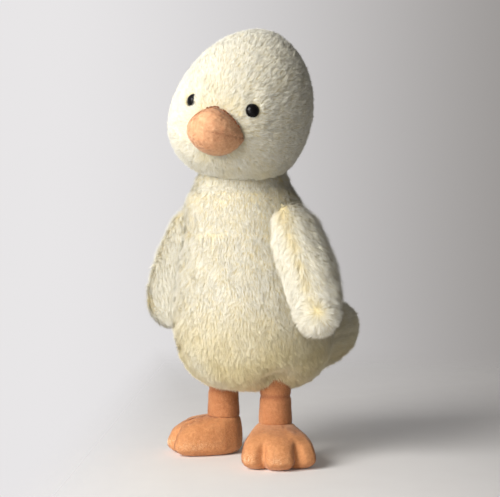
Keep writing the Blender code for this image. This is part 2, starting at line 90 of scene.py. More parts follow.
class Tree:
    """The nodes of a material or of the world."""

    def __init__(self, tree):
        self.tree = tree

    def node(self, kind, settings=None, values=None, output=0):
        """Add a node: its settings first, then the values or links of its sockets."""
        made = self.tree.nodes.new(kind)
        for key, value in (settings or {}).items():
            setattr(made, key, value)
        for key, value in (values or {}).items():
            self.plug(made.inputs[key], value)
        return Signal(self, made.outputs[output])

    def plug(self, socket, value):
        if isinstance(value, Signal):
            self.tree.links.new(value.socket, socket)
        else:
            socket.default_value = value

    def math(self, operation, first, second):
        return self.node("ShaderNodeMath", {"operation": operation}, {0: first, 1: second})

    def vector(self, operation, values):
        """A Vector Math node whose answer is one number."""
        return self.node("ShaderNodeVectorMath", {"operation": operation}, values, output="Value")

    def mix(self, share, start, end, blend="MIX"):
        """One colour turned into another by a share from 0 to 1."""
        settings = {"data_type": "RGBA", "blend_type": blend}
        return self.node("ShaderNodeMix", settings, {0: share, 6: start, 7: end}, output=2)

    def ramp(self, value, low, high):
        """A smooth step from 0 to 1 between two values."""
        settings = {"interpolation_type": "SMOOTHSTEP"}
        return self.node("ShaderNodeMapRange", settings, {"Value": value, 1: low, 2: high})


class Finish(Tree):
    """One material, and the nodes that make its look."""

    def __init__(self, name, **constants):
        self.material = bpy.data.materials.new(name)
        self.material.use_nodes = True
        super().__init__(self.material.node_tree)
        self.shader = self.tree.nodes["Principled BSDF"]
        self.feed(**constants)

    def feed(self, **sockets):
        """Set or link the shader's sockets, each by its own name in small letters."""
        for name, value in sockets.items():
            label = name.replace("_", " ").title().replace("Ior", "IOR")
            self.plug(self.shader.inputs[label], value)

    def place(self):
        """Where a point lies in the duck's own space."""
        return self.node("ShaderNodeTexCoord", output="Object")

    def noise(self, scale, detail=2.0, rough=0.5):
        """Soft noise from 0 to 1, with about as many humps to a metre as the scale says."""
        values = {"Vector": self.place(), "Scale": scale, "Detail": detail, "Roughness": rough}
        return self.node("ShaderNodeTexNoise", {}, values)

    def stored(self, name):
        """A number that the mesh keeps for each point."""
        return self.node("ShaderNodeAttribute", {"attribute_name": name}, output=2)

    def channels(self, name):
        """Three numbers that the mesh keeps for each point, as the parts of one colour."""
        whole = self.node("ShaderNodeAttribute", {"attribute_name": name})
        split = self.node("ShaderNodeSeparateColor", {}, {0: whole})
        return [Signal(self, socket) for socket in split.socket.node.outputs]

    def bump(self, height, distance, strength):
        values = {"Height": height, "Distance": distance, "Strength": strength}
        return self.node("ShaderNodeBump", {}, values)


def colour(red, green, blue):
    """A colour as it is picked on a screen, turned into the shader's own scale."""
    return tuple(((c / 255 + 0.055) / 1.055) ** 2.4 for c in (red, green, blue)) + (1.0,)


print("colour check:", [round(c, 3) for c in colour(240, 236, 215)])

# %% [markdown]
# ## The finishes
# The pile is a soft man-made fibre: nearly white at its tips and yellow down at the
# cloth. It could be a pattern on a smooth cover, but real pile catches the light fibre
# by fibre, so each fibre is a shape of its own here. It keeps three numbers in its mesh:
# how far along it a point is, a random number for the whole fibre, and how much of the
# deep yellow it takes there: yellow roots that show round the beak and in a wing's
# parting, and painted shade under the chin and low on the belly and the tail.

# %% Pile and the cloth it grows from
TIP = colour(253, 251, 241)
ROOT = colour(241, 229, 186)
# Deep yellow: the roots' own colour in patches, round the beak and in a wing's parting, and painted shade
# under the chin and low on the belly and the tail.
DYE_AND_PAINTED_SHADE = colour(234, 214, 142)
WORN, CLEAN = colour(226, 222, 210), colour(255, 255, 255)


def make_pile():
    finish = Finish("cream_pile", roughness=0.8, sheen_weight=0.25, sheen_roughness=0.5)
    along, chance, tone_share = finish.channels("fibre")
    fibre = finish.mix(finish.ramp(along, -0.1, 0.75), ROOT, TIP)
    # The deep yellow mixed in here is painted shade under the chin and low on the belly and the tail.
    fibre = finish.mix(tone_share * 0.62, fibre, DYE_AND_PAINTED_SHADE)
    patch = finish.noise(130.0, 3.0)
    fibre = finish.mix((patch - 0.5) * 0.6, fibre, DYE_AND_PAINTED_SHADE)
    shade = finish.mix(0.2 + chance * 0.8, WORN, CLEAN)
    finish.feed(base_color=finish.mix(1.0, fibre, shade, "MULTIPLY"))
    return finish.material


def make_backing():
    finish = Finish("cream_backing", roughness=0.95, sheen_weight=0.2)
    knit = finish.noise(900.0, 2.0)
    patch = finish.noise(120.0, 3.0)
    base = finish.mix(patch, colour(232, 216, 164), colour(244, 234, 198))
    finish.feed(base_color=finish.mix(knit * 0.4, base, colour(214, 194, 138)))
    finish.feed(normal=finish.bump(knit, 0.0006, 0.6))
    return finish.material


pile = make_pile()
backing = make_backing()
print("pile:", pile.name, "backing:", backing.name)

# %% [markdown]
# The beak, the legs and the feet are peach velour: a very short nap that looks mottled
# where it has been stroked both ways. Painted shade darkens it along the line of the
# mouth and in the crease of a leg, and the legs take darker tones as painted shade from
# the belly above them. The cloth and the short fibres that grow on it are mixed from the
# same tones, so that neither shows through the other.

# %% Velour
# The painted shade of a crease.
PAINTED_CREASE_SHADE = colour(150, 84, 52)


def make_velour(name, deep, light, fibres=False):
    """The cloth of the beak or the feet, or the short fibres of its nap."""
    finish = Finish(name, roughness=0.85, sheen_weight=0.25, sheen_roughness=0.4)
    stroked = finish.noise(480.0, 4.0, 0.65)
    broad = finish.noise(60.0, 2.0)
    base = finish.mix(finish.ramp(stroked, 0.32, 0.68), colour(*deep), colour(*light))
    base = finish.mix(finish.ramp(broad, 0.4, 0.7) * 0.35, base, colour(*deep))
    if fibres:
        along, line, pale = finish.channels("fibre")
        base = finish.mix(finish.ramp(along, 0.2, 1.0) * 0.3, base, colour(252, 212, 170))
        base = finish.mix(pale * 0.9, base, colour(255, 224, 184))
        # Painted shade along the line of the mouth and in the crease of a leg.
        base = finish.mix(finish.ramp(line, 1.0, 2.0) * 0.75, base, PAINTED_CREASE_SHADE)
    else:
        # Painted shade where the mesh keeps it: the line of the mouth and the crease of a leg.
        base = finish.mix(finish.stored("seam") * 0.8, base, PAINTED_CREASE_SHADE)
        speck = finish.noise(900.0, 3.0, 0.7)
        finish.feed(normal=finish.bump(speck * 0.6 + stroked * 0.8, 0.0007, 0.8))
    finish.feed(base_color=base)
    return finish.material


def make_pair(name, *tones):
    """A velour and the nap that grows on it."""
    return make_velour(f"{name}_velour", *tones), make_velour(f"{name}_nap", *tones, fibres=True)


velour, nap = make_pair("peach", (196, 130, 80), (214, 150, 98))
# The legs have the peach velour painted darker, as the shade that the belly casts on them.
leg_velour_painted_shade, leg_nap_painted_shade = make_pair("leg", (176, 112, 68), (194, 130, 84))
beak_velour, beak_nap = make_pair("beak", (222, 162, 118), (240, 190, 146))
print("velours:", velour.name, leg_velour_painted_shade.name, beak_velour.name)

# %% [markdown]
# The eyes are polished black beads. Inside the covers lie white fibre filling, pouches
# of small pellets and a lock washer behind each eye. Nobody sees these inner parts, so
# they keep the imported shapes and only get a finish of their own.

# %% Beads, fillings and washers
def make_bead():
    finish = Finish("black_bead", specular_ior_level=0.12)
    worn = finish.noise(500.0, 2.0)
    finish.feed(base_color=finish.mix(worn, colour(6, 5, 6), colour(16, 14, 14)))
    finish.feed(roughness=0.08 + worn * 0.08)
    return finish.material


def make_filling():
    finish = Finish("white_filling", roughness=0.95)
    fibres = finish.noise(420.0, 6.0, 0.8)
    finish.feed(base_color=finish.mix(fibres, colour(226, 226, 222), colour(252, 252, 250)))
    finish.feed(normal=finish.bump(fibres, 0.001, 0.8))
    return finish.material


def make_pellets():
    finish = Finish("plastic_pellets", roughness=0.4)
    where = {"Vector": finish.place(), "Scale": 420.0}
    grains = finish.node("ShaderNodeTexVoronoi", {}, where)
    shade = finish.noise(300.0)
    finish.feed(base_color=finish.mix(shade, colour(206, 204, 196), colour(240, 239, 233)))
    finish.feed(normal=finish.bump(1 - grains, 0.001, 0.9))
    return finish.material


def make_washer():
    finish = Finish("washer_plastic", roughness=0.45)
    moulded = finish.noise(700.0)
    finish.feed(base_color=finish.mix(moulded, colour(226, 226, 223), colour(240, 240, 238)))
    finish.feed(roughness=0.38 + moulded * 0.14)
    return finish.material


def coat(mesh, material):
    """Give a mesh one material and no other."""
    mesh.materials.clear()
    mesh.materials.append(material)


inside = {"stuffing": make_filling(), "pellets": make_pellets(), "washer": make_washer()}
inside["pouch"] = inside["pellets"]
for name, node in nodes.items():
    for word, material in inside.items():
        if word in name:
            coat(node.data, material)
bead = make_bead()
print("finished inside parts:", sum(any(word in name for word in inside) for name in nodes))

# %% [markdown]
# ## Covers
# A stuffed cover has no facets and no open joins. The panels of a cover are therefore
# melted into one skin with a voxel remesh, ironed smooth, and sunk a little so that the
# pile ends where the duck's outline is. Each part swells a little first, so that no
# gap between two panels stays open. A cloth simulation could puff the panels up as
# well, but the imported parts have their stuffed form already, and a remesh keeps it.

# %% Read and write meshes
SWELL = 0.0004


def clamp(values):
    """Numbers held between 0 and 1."""
    return np.clip(values, 0.0, 1.0)


def bell(values):
    """A soft bump: 1 at zero, and close to 0 from 2 on."""
    return np.exp(-(values**2))


def put(name, data):
    """A new object in the scene."""
    piece = bpy.data.objects.new(name, data)
    bpy.context.scene.collection.objects.link(piece)
    return piece


def worked_out(piece):
    """The mesh that a piece has once its modifiers or its curves are worked out."""
    scene_now = bpy.context.evaluated_depsgraph_get()
    return bpy.data.meshes.new_from_object(piece.evaluated_get(scene_now))


def read(mesh, key="co"):
    """The points, or the normals, of a mesh as rows of three numbers."""
    rows = np.empty(len(mesh.vertices) * 3)
    if key == "co":
        mesh.vertices.foreach_get("co", rows)
    else:
        mesh.vertex_normals.foreach_get("vector", rows)
    return rows.reshape(-1, 3)


def write(mesh, points):
    mesh.vertices.foreach_set("co", points.ravel())
    mesh.update()


def keep(mesh, name, values):
    """Store a number for each point."""
    stored = mesh.attributes.get(name) or mesh.attributes.new(name, "FLOAT", "POINT")
    stored.data.foreach_set("value", values.astype(np.float32))


def recall(mesh, name):
    """The numbers that `keep` has stored."""
    values = np.empty(len(mesh.vertices))
    mesh.attributes[name].data.foreach_get("value", values)
    return values


def sink(skin, depth):
    """Move a skin inwards, by one depth or by a depth for each point."""
    depth = np.broadcast_to(depth, len(skin.data.vertices))[:, None]
    write(skin.data, read(skin.data) - read(skin.data, "normals") * depth)


def draw_in(skin, centre, radius, depth):
    """Dent a skin softly round a point. A depth below 0 raises it."""
    sink(skin, bell(np.linalg.norm(read(skin.data) - centre, axis=1) / radius) * depth)


def melt(name, parts, material, voxel, rounds):
    """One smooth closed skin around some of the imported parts."""
    lump = bmesh.new()
    for part in parts:
        lump.from_mesh(nodes[part].data)
    data = bpy.data.meshes.new(name)
    lump.to_mesh(data)
    lump.free()
    skin = put(name, data)
    extra = SWELL if len(parts) > 1 else 0.0
    swell = skin.modifiers.new("swell", "DISPLACE")
    swell.strength = extra
    swell.mid_level = 0.0
    remesh = skin.modifiers.new("melt", "REMESH")
    remesh.mode = "VOXEL"
    remesh.voxel_size = voxel
    iron = skin.modifiers.new("iron", "SMOOTH")
    iron.factor = 0.5
    iron.iterations = rounds
    shaped = worked_out(skin)
    skin.modifiers.clear()
    skin.data = shaped
    shaped.name = name
    coat(shaped, material)
    shaped.shade_smooth()
    sink(skin, extra)
    return skin


print("a cover of several parts swells by", SWELL)

# %% [markdown]
# The remesh melts the seams away, so they are pressed back in afterwards: a point on a
# seam is about as far from one panel as from the next. How near each point is to a seam
# is kept in the mesh, for the pile and the finishes. Where a cover is dented, the piece
# inside it follows with a finer copy of itself.

# %% Press seams in
BESIDE = 6


def tree_of(parts):
    """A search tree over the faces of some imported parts."""
    points, faces = [], []
    for part in parts:
        mesh = nodes[part].data
        start = len(points)
        points.extend(v.co for v in mesh.vertices)
        faces.extend([start + i for i in face.vertices] for face in mesh.polygons)
    return BVHTree.FromPolygons(points, faces)


def press_seams(skin, panels, width, depth):
    """Sink the skin along the seams between panels, and return each point's panel."""
    points = read(skin.data)
    gaps = np.array([[tree.find_nearest(p)[3] for p in points] for tree in map(tree_of, panels)])
    order = np.sort(gaps, axis=0)
    apart = order[1] - order[0]
    sink(skin, bell(apart / width) * depth)
    keep(skin.data, "seam", bell(apart / width))
    keep(skin.data, "beside", bell(apart / (width * BESIDE)))
    return gaps.argmin(axis=0)


def soft_copy(name, source, rides):
    """A finer copy of an inside piece, which can follow its dented cover."""
    piece = put(name, nodes[source].data.copy())
    fine = bmesh.new()
    fine.from_mesh(piece.data)
    bmesh.ops.subdivide_edges(fine, edges=fine.edges, cuts=3, use_grid_fill=True)
    bmesh.ops.triangulate(fine, faces=fine.faces)
    fine.to_mesh(piece.data)
    fine.free()
    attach(piece, rides)
    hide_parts(source)
    return piece


def settle(skin, rides, parts):
    """Hand a skin over to the body that moves it."""
    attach(skin, rides)
    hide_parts(*parts)


print("a seam's neighbourhood is", BESIDE, "times as wide as its groove")

# %% [markdown]
# ## Pile
# Each fibre is a narrow ribbon of two pieces that tapers to a point. It leaves the cloth
# at a slant, lies over along the way the pile is brushed, and its tip is drawn towards
# its neighbours, because real pile gathers in small tufts. Blender's own hair could do
# the same, but it isn't a mesh that can be handed over. The first helpers give smooth
# noise and the places of the roots.

# %% Noise, directions and roots
def ripples(points, size, seed):
    """Smooth noise between about -1 and 1 with features of about the given size, and its slope."""
    rng = np.random.default_rng(seed)
    total, slope = np.zeros(len(points)), np.zeros((len(points), 3))
    for _ in range(12):
        way = rng.normal(size=3)
        way *= 2 * pi / (size * rng.uniform(0.7, 1.6)) / np.linalg.norm(way)
        phase = points @ way + rng.uniform(0, 2 * pi)
        total += np.sin(phase) / 5
        slope += np.cos(phase)[:, None] * way / 5
    return total, slope


def soft_noise(points, size, seed):
    return ripples(points, size, seed)[0]


def unit(rows):
    return rows / np.maximum(np.linalg.norm(rows, axis=1, keepdims=True), 1e-9)


def flattened(rows, normals):
    """What is left of directions when they are laid flat on the surface."""
    return rows - normals * (rows * normals).sum(axis=1, keepdims=True)


def spin(ways, normals, angles):
    """Turn directions about the normals."""
    turn = angles[:, None]
    return ways * np.cos(turn) + np.cross(normals, ways) * np.sin(turn)


def scatter(skin, chosen, count, rng):
    """Random spots on the chosen faces: places, normals and the skin's seam value."""
    mesh = skin.data
    mesh.calc_loop_triangles()
    corners = np.empty(len(mesh.loop_triangles) * 3, dtype=np.int32)
    mesh.loop_triangles.foreach_get("vertices", corners)
    corners = corners.reshape(-1, 3)
    corners = corners[chosen[corners[:, 0]]]
    points, normals = read(mesh), read(mesh, "normals")
    a, b, c = (points[corners[:, i]] for i in range(3))
    area = np.linalg.norm(np.cross(b - a, c - a), axis=1) / 2
    number = int(area.sum() * count)
    face = corners[rng.choice(len(area), number, p=area / area.sum())]
    u, v = rng.random((2, number))
    over = u + v > 1
    u[over], v[over] = 1 - u[over], 1 - v[over]
    share = np.stack([1 - u - v, u, v], axis=1)[:, :, None]
    seam = (recall(mesh, "seam")[face] * share[:, :, 0]).sum(axis=1)
    return (points[face] * share).sum(axis=1), unit((normals[face] * share).sum(axis=1)), seam


print("noise check:", soft_noise(np.zeros((1, 3)), 0.01, 1).round(3))

# %% [markdown]
# The next helpers lay the fibres down. The cloth under them has low humps, a fibre
# strays from the brushed way by slow swirls and a little chance, and the tufts draw
# their fibres together. The ribbons have a map of their own, a small cell for each, so
# that every fibre keeps its colours when they are baked.

# %% Fibres and tufts
SWIRL, UNEVEN, RAISED = 0.011, 0.009, 0.005
CHANCE_TURN = radians(8)
FIRST_LEAN, SECOND_LEAN = 1.35, 0.55
ROOT_DEPTH = 0.0004

# The corners of a ribbon's two faces, and where its five points lie in its cell.
RIBBON = np.array([0, 1, 2, 3, 3, 2, 4])
CELL = np.array([[0.1, 0.1], [0.9, 0.1], [0.82, 0.5], [0.18, 0.5], [0.5, 0.9]])


def lay(roots, normals, brush, relief, curl, stray, wave, rng):
    """The humps under the roots, which way they face, and which way the fibres lie."""
    bed, slope = ripples(roots, curl, wave)
    fine, steep = ripples(roots, curl * 0.5, wave + 50)
    bed, slope = bed + fine * 0.4, flattened(slope + steep * 0.4, normals)
    facing = unit(normals - slope * relief)
    ways = unit(flattened(brush(roots, normals), facing))
    swirl = soft_noise(roots, SWIRL, wave + 1) * radians(stray)
    return bed, facing, spin(ways, facing, swirl + rng.normal(size=len(roots)) * CHANCE_TURN)


def gather(roots, reach, tips, middles, number, pull, rng):
    """Draw tips to the nearest tuft's own tip, and tell which tuft each root belongs to."""
    heads = rng.choice(len(roots), number, replace=False)
    tree = KDTree(number)
    for index, head in enumerate(heads):
        tree.insert(roots[head], index)
    tree.balance()
    tuft = np.array([tree.find(root)[1] for root in roots])
    nearest = heads[tuft]
    strength = (pull * rng.uniform(0.55, 1.0, len(roots)))[:, None]
    shift = tips[nearest] - tips
    far = np.linalg.norm(shift, axis=1) / np.maximum(reach, 1e-9)
    strength *= clamp(1.4 - far)[:, None]
    return tips + shift * strength, middles + (middles[nearest] - middles) * strength * 0.35, tuft


def make_ribbons(name, rows):
    """A mesh of ribbons, each of five points and two faces, with a cell of the map for each."""
    number = len(rows)
    order = np.arange(number)[:, None]
    mesh = bpy.data.meshes.new(name)
    mesh.vertices.add(number * 5)
    mesh.loops.add(number * 7)
    mesh.polygons.add(number * 2)
    mesh.vertices.foreach_set("co", rows.ravel())
    mesh.loops.foreach_set("vertex_index", (order * 5 + RIBBON).ravel())
    mesh.polygons.foreach_set("loop_start", (order * 7 + np.array([0, 4])).ravel())
    mesh.update()
    cells = int(np.ceil(np.sqrt(number)))
    cell = np.stack([order % cells, order // cells], axis=2)
    mesh.uv_layers.new(name="OFBake")
    mesh.uv_layers["OFBake"].uv.foreach_set("vector", ((cell + CELL[RIBBON]) / cells).ravel())
    return mesh


print("points of a ribbon:", len(CELL))

# %% [markdown]
# `grow` puts the steps together and makes one piece of pile. Pieces of one cover have
# the same hundreds in their seeds, so humps and swirls run on across the seams.

# %% Grow pile
LEAST_RISE, MOST_RISE = 0.12, 1.4
BY_CLOTH, BY_FIBRE, BY_TUFT = 0.80, 0.20, 0.11


def grow(name, skin, chosen, brush, length, count, rides, slot, seed,
         width=0.00025, slant=28.0, stray=20.0, spacing=0.0011, pull=0.33, tone_share=None, bare=None,
         thin=0.0, relief=0.00008, curl=0.0046, lined=0.0, fuzz=0.12, material=pile):
    """Grow pile on the chosen points of a skin as one piece.

    length and width are a fibre's, and count is how many grow on a square metre
    brush gives the way the pile lies, and slant and stray how far it leans out and strays
    spacing is the distance between tufts, and pull how strongly they draw their fibres
    relief and curl are the height and the size of the humps in the cloth
    tone_share says how much of the finish's third tone a spot takes, painted shade under the
    chin and low on the belly among them, and bare where nothing grows
    thin says how much a seam shortens the fibres beside it, and lined how much painted shade
    it lays on them
    fuzz is the share of the fibres that stand up
    """
    rng = np.random.default_rng(seed)
    wave = seed // 100
    roots, normals, seam = scatter(skin, chosen, count, rng)
    if bare is not None:
        stays = ~bare(roots)
        roots, normals, seam = roots[stays], normals[stays], seam[stays]
    number = len(roots)
    bed, facing, ways = lay(roots, normals, brush, relief, curl, stray, wave, rng)
    reach = length * (1 + 0.12 * soft_noise(roots, UNEVEN, wave + 2)) * rng.uniform(0.7, 1.1, number)
    reach *= 1 - thin * seam
    rise = radians(slant) * (1 + 0.3 * soft_noise(roots, RAISED, wave + 3))
    rise = rise + rng.normal(size=number) * 0.12 + (rng.random(number) < fuzz) * 0.6
    rise = np.clip(rise, LEAST_RISE, MOST_RISE)[:, None]
    first = ways * np.cos(rise * FIRST_LEAN) + facing * np.sin(rise * FIRST_LEAN)
    second = ways * np.cos(rise * SECOND_LEAN) + facing * np.sin(rise * SECOND_LEAN)
    starts = roots + normals * (bed * relief - ROOT_DEPTH)[:, None]
    middles = starts + first * reach[:, None] * 0.5
    tips = middles + second * reach[:, None] * 0.5
    tufts = max(int(number / count / spacing**2), 2)
    tips, middles, tuft = gather(roots, reach, tips, middles, tufts, pull, rng)
    own_shade, own_tilt = rng.random(tufts)[tuft], rng.normal(size=(tufts, 3))[tuft]
    side = unit(np.cross(second, facing)) * (width / 2 * rng.uniform(0.7, 1.2, number))[:, None]
    rows = np.stack([starts - side, starts + side, middles + side * 0.8, middles - side * 0.8, tips], axis=1)
    rows[:, :, 2] = np.maximum(rows[:, :, 2], 0.0)
    mesh = make_ribbons(name, rows)
    fibre = np.zeros((number, 5, 4))
    fibre[:, :, 0] = [0.0, 0.0, 0.5, 0.5, 1.0]
    fibre[:, :, 1] = (own_shade * 0.5 + rng.random(number) * 0.5 + lined * seam)[:, None]
    fibre[:, :, 2] = clamp(tone_share(roots) if tone_share is not None else np.zeros(number))[:, None]
    stored = mesh.attributes.new("fibre", "FLOAT_COLOR", "POINT")
    stored.data.foreach_set("color", fibre.ravel())
    mesh.validate()
    soft = unit(facing * BY_CLOTH + unit(np.cross(side, second)) * BY_FIBRE + own_tilt * BY_TUFT)
    mesh.normals_split_custom_set_from_vertices(np.repeat(soft, 5, axis=0))
    mesh.materials.append(material)
    fur = put(name, mesh)
    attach(fur, rides)
    print(name, "fibres:", number)


def pile_name(panel):
    return panel.replace("_panel", "").replace("_gusset", "") + "_pile"


def middle(name):
    low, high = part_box(name)
    return np.array((low + high) / 2)


def toward(start, end):
    """The direction from one spot to another."""
    return unit((end - start)[None])[0]


eyes = [middle("eye_left"), middle("eye_right")]
beak_spot = (middle("beak_upper_panel") + middle("beak_lower_panel")) / 2
pivot = np.array(frame["joints"][0]["pos_m"])
print("beak at", beak_spot.round(3), "head moves on", pivot.round(3))

# %% [markdown]
# ## The head
# Four panels make the head. Its pile is short and lies away from the beak, so it fans
# out over the cheeks and the crown. Round each eye the cover is drawn in by the thread
# that holds the bead, and no pile grows under the bead. These dents could be painted on,
# but only real ones take a shadow from the side.

# %% Head skin and pile
HEAD_PANELS = ["head_left_panel", "head_right_panel", "head_crown_gusset", "head_chin_panel"]
BROW = np.array([0.0, 0.0, 0.009])
CHEEK = np.array([1.0, 1.0, 0.2])
BARE_EYE = 0.0046
DYED_REACH, CHIN_SHADE_DROP = 0.026, 0.016
head = melt("head_cover", HEAD_PANELS + ["head_stuffing"], backing, voxel=0.0016, rounds=24)
head_owner = press_seams(head, [[panel] for panel in HEAD_PANELS], width=0.002, depth=0.0003)
sink(head, 0.0014)

# A raised ring, the hollow under the bead, a dip above it, and a pad towards the beak
# beside the right eye alone, where the cloth is crowded.
for eye, tight in zip(eyes, (0.0, 1.0)):
    draw_in(head, eye, radius=0.0130, depth=-0.0026)
    draw_in(head, eye, radius=0.0044, depth=0.0032)
    draw_in(head, eye + BROW, radius=0.0045, depth=0.0014)
    draw_in(head, eye + toward(eye, beak_spot) * CHEEK * 0.0082, radius=0.0052, depth=-0.0021 * tight)


def away_from_beak(points, normals):
    return points - beak_spot + np.array([0.0, 0.006, 0.0])


def face_yellow_and_chin_shade(points):
    """Yellow roots round the beak, and the same yellow as painted shade under the chin."""
    near = clamp(1.5 - np.linalg.norm(points - beak_spot, axis=1) / DYED_REACH)
    low = clamp((beak_spot[2] - CHIN_SHADE_DROP - points[:, 2]) / CHIN_SHADE_DROP)
    return np.maximum(near * 0.5, low * 0.6) * (0.55 + 0.6 * soft_noise(points, 0.014, 8))


def under_eyes(points):
    return np.minimum(*(np.linalg.norm(points - eye, axis=1) for eye in eyes)) < BARE_EYE


for index, panel in enumerate(HEAD_PANELS):
    grow(pile_name(panel), head, head_owner == index, away_from_beak, length=0.0040, count=5.6e6,
         rides="head", slot="cream_plush", seed=100 + index, relief=0.00010, bare=under_eyes,
         tone_share=face_yellow_and_chin_shade)
settle(head, "head", HEAD_PANELS)

# %% [markdown]
# ## The neck
# Under the head the same cloth closes round the ball of filling that the head moves on.
# Its pile is short and hangs down over the top edge of the yoke. Below the pivot the
# cover widens to fill the opening of the yoke, so no gap shows there when the head leans.

# %% Neck
BAND_DROP = 0.0145
NECK_RADIUS, FLARE, FLARE_OVER, MOST = 0.0322, 0.0032, 0.010, 0.012


def downwards(points, normals):
    return np.tile([0.0, 0.0, -1.0], (len(points), 1))


def widen(points):
    """Push a slim part of the neck out to its wanted radius, below the pivot only."""
    away = points[:, :2] - pivot[:2]
    span = np.linalg.norm(away, axis=1)
    flare = clamp((pivot[2] - points[:, 2]) / FLARE_OVER)
    wanted = NECK_RADIUS + FLARE * flare**1.3
    points[:, :2] += away / span[:, None] * (np.clip(wanted - span, 0.0, MOST) * (flare > 0))[:, None]
    return points


neck = melt("neck_cover", ["neck_collar", "neck_stuffing"], backing, voxel=0.0018, rounds=30)
keep(neck.data, "seam", np.zeros(len(neck.data.vertices)))
band = read(neck.data)[:, 2] > pivot[2] - BAND_DROP
sink(neck, 0.0006)
write(neck.data, widen(read(neck.data)))
grow("neck_pile", neck, band, downwards, length=0.0046, count=5.0e6, rides="neck_collar",
     slot="yoke_plush", seed=200)
settle(neck, "neck_collar", ["neck_collar"])

# %% [markdown]
# ## The body
# The body is a pear of six panels. The pile runs down from the shoulders. A seam across
# the chest joins the yoke, and the lower belly is painted a deeper yellow as its shade.
# The yoke's top edge is lifted in a ring against the neck, the shoulders are fuller than
# their solid, and the cover is dented above the near leg, where the velour runs up under
# the pile.

# %% Body skin
BODY_PANELS = ["body_front_panel", "body_left_panel", "body_right_panel", "body_base_panel",
               "yoke_front", "yoke_back"]
RING_OUT, RING_OUT_OVER, RING_IN, RING_IN_OVER = 0.0385, 0.0055, 0.027, 0.003
RING_DROP, RING_DROP_OVER, RING_LIFT = 0.017, 0.006, 0.0065
SHOULDER_DROP, SHOULDER_HEIGHT, SHOULDER_SWELL = 0.018, 0.0080, 0.0026
OVER_LEG = np.array([0.0384, -0.0310, 0.0575])


def lift_ring(points):
    """Lift the yoke's top edge in a ring round the neck."""
    span = np.linalg.norm(points[:, :2] - pivot[:2], axis=1)
    high = clamp((points[:, 2] - pivot[2] + RING_DROP) / RING_DROP_OVER)
    ring = clamp((RING_OUT - span) / RING_OUT_OVER) * high
    points[:, 2] += RING_LIFT * ring * clamp((span - RING_IN) / RING_IN_OVER)
    return points


body = melt("body_cover", BODY_PANELS + ["body_stuffing", "bean_pouch"], backing, voxel=0.0020, rounds=50)
body_owner = press_seams(body, [[panel] for panel in BODY_PANELS], width=0.0022, depth=0.0)
press_seams(body, [BODY_PANELS[:-2], BODY_PANELS[-2:]], width=0.0014, depth=0.0005)
sink(body, 0.0015)
write(body.data, lift_ring(read(body.data)))
level = read(body.data)[:, 2] - pivot[2] + SHOULDER_DROP
sink(body, -SHOULDER_SWELL * bell(level / SHOULDER_HEIGHT))
filling = soft_copy("body_filling", "body_stuffing", "torso")
pouch = soft_copy("pellet_pouch", "bean_pouch", "torso")
draw_in(body, OVER_LEG, radius=0.0115, depth=0.0076)
for piece in (filling, pouch):
    draw_in(piece, OVER_LEG, radius=0.0160, depth=0.0140)
print("body points:", len(body.data.vertices))


# %% Body pile
def down_and_round(points, normals):
    """Down and outwards from the neck, and backwards under the belly."""
    ways = np.zeros_like(points)
    ways[:, 2] = -1.0
    ways[:, :2] = (points[:, :2] - pivot[:2]) * 8.0
    ways[:, 1] += clamp(-normals[:, 2] * 1.5 - 0.3) * 0.8
    return ways


# Painted shade: the pile turns a deeper yellow towards the bottom of the belly and the tail.
def belly_painted_shade(points):
    low = clamp((0.120 - points[:, 2]) / 0.05)
    patches = 0.5 + 0.5 * soft_noise(points, 0.03, 7)
    return low * (0.65 + 0.6 * patches)


CUTS = {
    "body": {"length": 0.0050, "slot": "cream_plush", "slant": 32, "stray": 28},
    "yoke": {"length": 0.0042, "slot": "yoke_plush", "slant": 28, "stray": 18},
}
for index, panel in enumerate(BODY_PANELS):
    cut = CUTS["yoke" if panel.startswith("yoke") else "body"]
    grow(pile_name(panel), body, body_owner == index, down_and_round, count=4.4e6, rides="torso",
         seed=300 + index, tone_share=belly_painted_shade, thin=0.35, relief=0.00010, **cut)
settle(body, "torso", BODY_PANELS)

# %% [markdown]
# ## The tail
# The tail is a broad rounded cushion behind the body, sewn from two panels. Its pile
# runs out to the edge, away from a spot inside its root.

# %% Tail
TAIL_PANELS = ["tail_upper_panel", "tail_lower_panel"]
tail = melt("tail_cover", TAIL_PANELS + ["tail_stuffing"], backing, voxel=0.0016, rounds=16)
tail_owner = press_seams(tail, [[panel] for panel in TAIL_PANELS], width=0.002, depth=0.0008)
sink(tail, 0.0016)
tail_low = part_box("tail_upper_panel")[0]
tail_root = np.array([0.0, tail_low.y - 0.02, tail_low.z - 0.004])


def out_of_tail(points, normals):
    return points - tail_root


# The tail takes the belly's painted shade towards the bottom.
for index, panel in enumerate(TAIL_PANELS):
    grow(pile_name(panel), tail, tail_owner == index, out_of_tail, length=0.0062, count=3.6e6,
         rides="torso", slot="cream_plush", seed=400 + index, tone_share=belly_painted_shade)
settle(tail, "torso", TAIL_PANELS)

# %% [markdown]
# ## The wings
# The pile of a wing is the longest. It parts along the middle of the outer side, where
# the yellow roots show, and bursts out from one spot near the tip. Both could be combed
# by hand, but a formula for the way the pile lies serves both wings, one as the other's
# mirror image.

# %% Wings
ACROSS = 0.727, 0.687
BURST_UP = 0.0167
PARTING_AT, PARTING_LEAN, PARTING_WIDTH = 0.0341, 0.340, 0.003
PARTING_DYE = {"left": 0.7, "right": 0.3}
TOP_START, TOP_OVER, TOP_SINK = 0.012, 0.010, 0.0020
BURST_REACH, BURST_OVER, BURST_SPOT = 0.0140, 0.008, 0.0040


